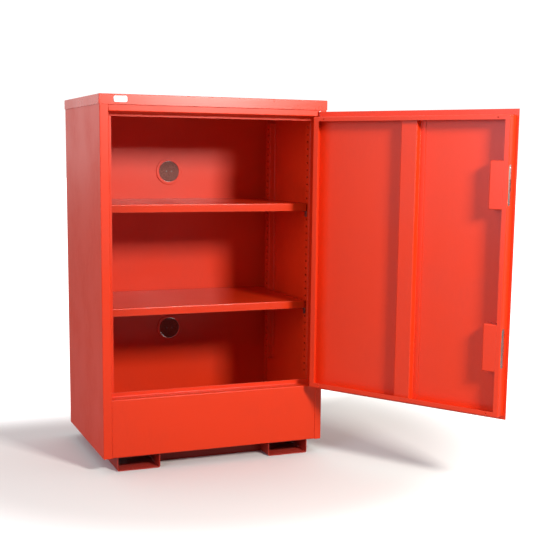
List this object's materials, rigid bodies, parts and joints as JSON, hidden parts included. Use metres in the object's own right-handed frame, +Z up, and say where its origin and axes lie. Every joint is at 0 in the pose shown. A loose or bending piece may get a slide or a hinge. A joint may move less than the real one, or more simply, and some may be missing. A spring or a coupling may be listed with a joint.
{
  "type": "flammable storage cabinet",
  "caption": "Red sheet-steel flammable storage cabinet: hinged lockable door standing open, shelves on clips in slotted rails, gauze vents, a spill sump and fork skids.",
  "frame": {"origin": "on the floor, under the middle of the whole object's box as it stands with its door open; the body's own middle is at X -0.1742, Y 0.3211", "axes": "+Z up, +X to the right as one faces the cabinet, -Y out of its front; the door hinges at the right, about a vertical axis"},
  "size_m": [1.1484, 1.1922, 1.25],
  "materials": {
    "body_paint": "semi-gloss orange-red stoved powder coat with a fine orange-peel, over folded sheet steel",
    "lid_paint": "the same coat on the lid's cap",
    "base_paint": "darker, duller red on the fork skids and their cross plates",
    "shelf_paint": "smoother, glossier red on the shelves",
    "door_paint": "the body's coat on the door, its frame, stiffener, lock covers and handle",
    "hinge_paint": "body colour over the hinge leaves",
    "pin_steel": "bare bright pin ends",
    "clip_steel": "bright zinc plate",
    "forend_steel": "satin plated lock forends, bolts and screws",
    "lock_steel": "dull steel lock cases and key curtains",
    "escutcheon_steel": "satin keyhole plates and drop covers",
    "gauze": "dark brown woven wire gauze",
    "badge": "plain white plate with nothing on it"
  },
  "bodies": {
    "cabinet": {"badge_plate": "badge", "fork_skid_left": "base_paint", "fork_skid_right": "base_paint", "header_rail": "body_paint", "hinge_leaf_body": "hinge_paint", "hinge_pin": "pin_steel", "lid": "lid_paint", "rear_panel": "body_paint", "shelf_clip_lower_front_left": "clip_steel", "shelf_clip_lower_front_right": "clip_steel", "shelf_clip_lower_rear_left": "clip_steel", "shelf_clip_lower_rear_right": "clip_steel", "shelf_clip_upper_front_left": "clip_steel", "shelf_clip_upper_front_right": "clip_steel", "shelf_clip_upper_rear_left": "clip_steel", "shelf_clip_upper_rear_right": "clip_steel", "shelf_rail_front_left": "body_paint", "shelf_rail_front_right": "body_paint", "shelf_rail_rear_left": "body_paint", "shelf_rail_rear_right": "body_paint", "side_panel_left": "body_paint", "side_panel_right": "body_paint", "skid_cross_plate_front": "base_paint", "skid_cross_plate_rear": "base_paint", "sump_front_panel": "body_paint", "sump_tray": "body_paint", "vent_gauze_lower": "gauze", "vent_gauze_upper": "gauze", "vent_inner_ring_lower": "body_paint", "vent_inner_ring_upper": "body_paint", "vent_outer_ring_lower": "body_paint", "vent_outer_ring_upper": "body_paint"},
    "door": {"door_frame": "door_paint", "door_skin": "door_paint", "door_stiffener": "door_paint", "escutcheon_lower": "escutcheon_steel", "escutcheon_upper": "escutcheon_steel", "forend_screw_lower_bottom": "forend_steel", "forend_screw_lower_top": "forend_steel", "forend_screw_upper_bottom": "forend_steel", "forend_screw_upper_top": "forend_steel", "hinge_leaf_door": "hinge_paint", "lock_case_lower": "lock_steel", "lock_case_upper": "lock_steel", "lock_cover_lower": "door_paint", "lock_cover_upper": "door_paint", "lock_forend_lower": "forend_steel", "lock_forend_upper": "forend_steel", "pull_handle": "door_paint"},
    "shelf_lower": {"shelf_lower": "shelf_paint"},
    "shelf_upper": {"shelf_upper": "shelf_paint"},
    "bolt_lower": {"lock_bolt_lower": "forend_steel"},
    "bolt_upper": {"lock_bolt_upper": "forend_steel"},
    "curtain_lower": {"key_curtain_lower": "lock_steel"},
    "curtain_upper": {"key_curtain_upper": "lock_steel"},
    "cover_lower": {"keyhole_cover_lower": "escutcheon_steel"},
    "cover_upper": {"keyhole_cover_upper": "escutcheon_steel"}
  },
  "joints": [
    {"name": "door_hinge", "type": "hinge", "parent": "cabinet", "child": "door", "pos_m": [0.19569, 0.04508, 0.72575], "axis": [0, 0, 1], "range_deg": [-121.25, 48.75]},
    {"name": "bolt_lower_slide", "type": "slide", "parent": "door", "child": "bolt_lower", "axis": [0.5188, -0.8549, 0], "range_m": [0, 0.02]},
    {"name": "curtain_lower_turn", "type": "hinge", "parent": "door", "child": "curtain_lower", "pos_m": [0.52397, -0.5524, 0.47225], "axis": [-0.8549, -0.5188, 0], "range_deg": [0, 180]},
    {"name": "cover_lower_swing", "type": "hinge", "parent": "door", "child": "cover_lower", "pos_m": [0.5486, -0.53746, 0.48325], "axis": [-0.8549, -0.5188, 0], "range_deg": [-95, 95]},
    {"name": "shelf_lower_lift", "type": "slide", "parent": "cabinet", "child": "shelf_lower", "axis": [0, 0, 1], "range_m": [0, 0.015]},
    {"name": "bolt_upper_slide", "type": "slide", "parent": "door", "child": "bolt_upper", "axis": [0.5188, -0.8549, 0], "range_m": [0, 0.02]},
    {"name": "curtain_upper_turn", "type": "hinge", "parent": "door", "child": "curtain_upper", "pos_m": [0.52397, -0.5524, 0.97925], "axis": [-0.8549, -0.5188, 0], "range_deg": [0, 180]},
    {"name": "cover_upper_swing", "type": "hinge", "parent": "door", "child": "cover_upper", "pos_m": [0.5486, -0.53746, 0.99025], "axis": [-0.8549, -0.5188, 0], "range_deg": [-95, 95]},
    {"name": "shelf_upper_lift", "type": "slide", "parent": "cabinet", "child": "shelf_upper", "axis": [0, 0, 1], "range_m": [0, 0.015]}
  ],
  "couplings": [
    {"joint": "curtain_lower_turn", "follows": "bolt_lower_slide", "rad_per_m": 157},
    {"joint": "curtain_upper_turn", "follows": "bolt_upper_slide", "rad_per_m": 157}
  ]
}
